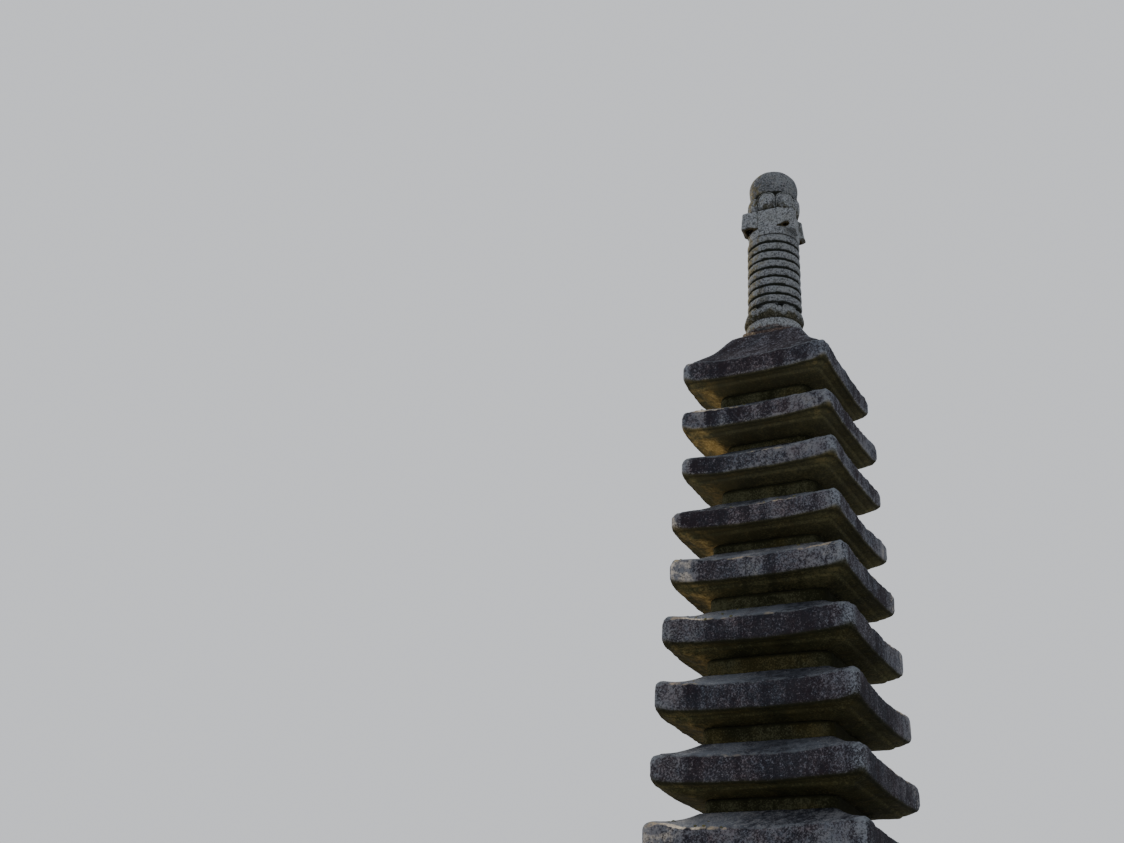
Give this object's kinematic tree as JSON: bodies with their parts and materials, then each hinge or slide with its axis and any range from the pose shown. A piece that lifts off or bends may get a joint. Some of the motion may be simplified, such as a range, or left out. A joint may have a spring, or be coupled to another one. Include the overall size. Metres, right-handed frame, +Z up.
{
  "type": "thirteen-storey stone pagoda",
  "caption": "Slender square garden pagoda of weathered grey stone, with tiered upturned roofs, low bodies, a stepped base and a ringed finial with a jewel.",
  "frame": {"origin": "centre of the platform's underside, on the level that the pagoda stands on", "axes": "+Z up the axis of the pagoda, -Y out of the front face, +X to the right seen from the front"},
  "size_m": [1.24, 1.24, 6.2461],
  "materials": {
    "roof_stone": "rough weathered dark grey stone with pale lichen and run-off streaks",
    "body_stone": "rough dark stone with olive-brown algae",
    "finial_stone": "rough grey-green stone with dark pores and ochre lichen",
    "base_stone": "rough mid grey stone, damp and darker near the ground"
  },
  "bodies": {
    "root": {"roof_01": "roof_stone", "roof_02": "roof_stone", "roof_03": "roof_stone", "roof_04": "roof_stone", "roof_05": "roof_stone", "roof_06": "roof_stone", "roof_07": "roof_stone", "roof_08": "roof_stone", "roof_09": "roof_stone", "roof_10": "roof_stone", "roof_11": "roof_stone", "roof_12": "roof_stone", "roof_13": "roof_stone", "first_storey_body": "body_stone", "body_02": "body_stone", "body_03": "body_stone", "body_04": "body_stone", "body_05": "body_stone", "body_06": "body_stone", "body_07": "body_stone", "body_08": "body_stone", "body_09": "body_stone", "body_10": "body_stone", "body_11": "body_stone", "body_12": "body_stone", "body_13": "body_stone", "dew_basin": "finial_stone", "finial_bowl": "finial_stone", "finial_lower_lotus": "finial_stone", "finial_ring_shaft": "finial_stone", "finial_lug_collar": "finial_stone", "finial_upper_lotus": "finial_stone", "finial_jewel": "finial_stone", "platform_slab_front": "base_stone", "platform_slab_right": "base_stone", "platform_slab_back": "base_stone", "platform_slab_left": "base_stone", "platform_core": "base_stone", "base_stone": "base_stone"}
  },
  "joints": []
}
